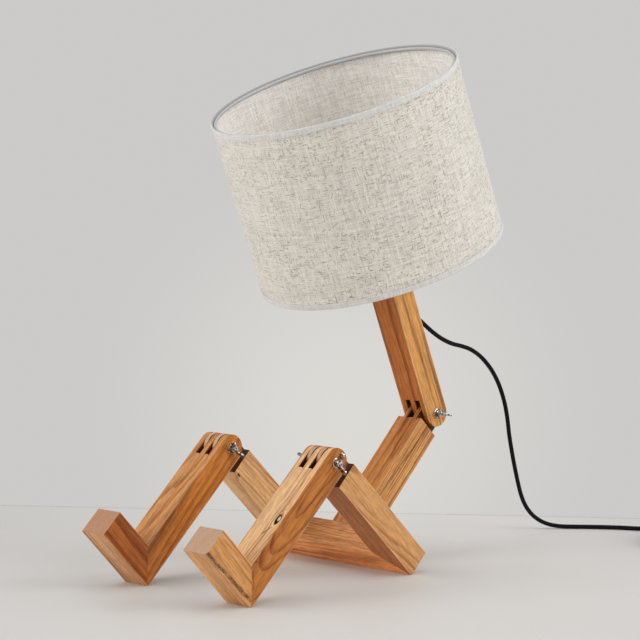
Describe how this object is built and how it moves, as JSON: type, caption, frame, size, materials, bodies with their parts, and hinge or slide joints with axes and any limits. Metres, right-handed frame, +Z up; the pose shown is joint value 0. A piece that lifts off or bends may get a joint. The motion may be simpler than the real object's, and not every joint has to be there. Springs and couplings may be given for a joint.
{
  "type": "desk lamp",
  "caption": "Seated wooden figure desk lamp: bars fold on finger joints held by wing nuts, and a drum shade with a bulb tilts as its head; corded, with an in-line switch.",
  "frame": {"origin": "on the table, under the middle of the lamp without its cord", "axes": "+X along the joint axes towards the wing nuts, +Y to the back of the figure, +Z up; the figure faces -Y"},
  "size_m": [0.3907, 0.5932, 0.4776],
  "materials": {
    "oiled_timber": "oiled, satin",
    "dowel_wood": "raw beech",
    "zinc": "zinc plated",
    "sleeve_rubber": "matte",
    "cord_sheath": "satin",
    "brass": "bright",
    "white_plastic": "satin",
    "ceramic_white": "glazed",
    "white_wire": "powder coated",
    "lining": "matte",
    "linen": "coarse plain weave",
    "edge_tape": "woven tape",
    "bulb_metal": "satin",
    "frosted_glass": "frosted",
    "black_plastic": "satin",
    "rocker_plastic": "satin",
    "pin_metal": "nickel plated"
  },
  "bodies": {
    "frame": {"hip_bar": "oiled_timber", "thigh_left": "oiled_timber", "thigh_right": "oiled_timber", "torso_bar": "oiled_timber", "hip_dowels": "dowel_wood", "torso_dowels": "dowel_wood", "cord_lead": "cord_sheath", "cord_mid": "cord_sheath", "cord_coil": "cord_sheath", "cord_tail": "cord_sheath", "switch_base": "black_plastic", "switch_cover": "black_plastic", "switch_contacts": "brass", "switch_screws": "zinc", "plug_body": "black_plastic", "plug_pins": "pin_metal"},
    "lower_leg_left": {"shin_left": "oiled_timber", "foot_left": "oiled_timber", "heel_dowels_left": "dowel_wood", "knee_bolt_left": "zinc", "knee_washers_left": "zinc"},
    "lower_leg_right": {"shin_right": "oiled_timber", "foot_right": "oiled_timber", "heel_dowels_right": "dowel_wood", "knee_bolt_right": "zinc", "knee_washers_right": "zinc"},
    "head": {"neck_bar": "oiled_timber", "neck_bolt": "zinc", "neck_washers": "zinc", "cord_sleeve": "sleeve_rubber", "cord_inside": "cord_sheath", "threaded_tube": "brass", "tube_nut": "brass", "lampholder_cap": "white_plastic", "lampholder_insert": "ceramic_white", "lampholder_contact": "brass", "lampholder_shell": "brass", "lampholder_body": "white_plastic", "clamp_ring": "white_plastic", "shade_spider": "white_wire", "lower_ring": "white_wire", "upper_ring": "white_wire", "shade_liner": "lining", "shade_fabric": "linen", "lower_trim": "edge_tape", "upper_trim": "edge_tape", "bulb_cap": "bulb_metal", "bulb_glass": "frosted_glass"},
    "knee_nut_left": {"knee_nut_left": "zinc"},
    "knee_nut_right": {"knee_nut_right": "zinc"},
    "neck_nut": {"neck_nut": "zinc"},
    "switch_rocker": {"switch_rocker": "rocker_plastic"}
  },
  "joints": [
    {"name": "knee_left", "type": "hinge", "parent": "frame", "child": "lower_leg_left", "pos_m": [0.0675, -0.05091, 0.11102], "axis": [1, 0, 0], "range_deg": [-88, 15]},
    {"name": "knee_right", "type": "hinge", "parent": "frame", "child": "lower_leg_right", "pos_m": [-0.0675, -0.05091, 0.11102], "axis": [1, 0, 0], "range_deg": [-88, 15]},
    {"name": "neck_tilt", "type": "hinge", "parent": "frame", "child": "head", "pos_m": [0, 0.1499, 0.13082], "axis": [1, 0, 0], "range_deg": [-60, 30], "deforming": ["cord_lead"]},
    {"name": "knee_nut_left_turn", "type": "hinge", "parent": "lower_leg_left", "child": "knee_nut_left", "pos_m": [0.0833, -0.05091, 0.11102], "axis": [1, 0, 0], "continuous": true},
    {"name": "knee_nut_right_turn", "type": "hinge", "parent": "lower_leg_right", "child": "knee_nut_right", "pos_m": [-0.0517, -0.05091, 0.11102], "axis": [1, 0, 0], "continuous": true},
    {"name": "neck_nut_turn", "type": "hinge", "parent": "head", "child": "neck_nut", "pos_m": [0.0158, 0.1499, 0.13082], "axis": [1, 0, 0], "continuous": true},
    {"name": "rocker_tilt", "type": "hinge", "parent": "frame", "child": "switch_rocker", "pos_m": [0.1553, 0.3262, 0.0132], "axis": [0.766, 0.6428, 0], "range_deg": [0, 14]}
  ]
}
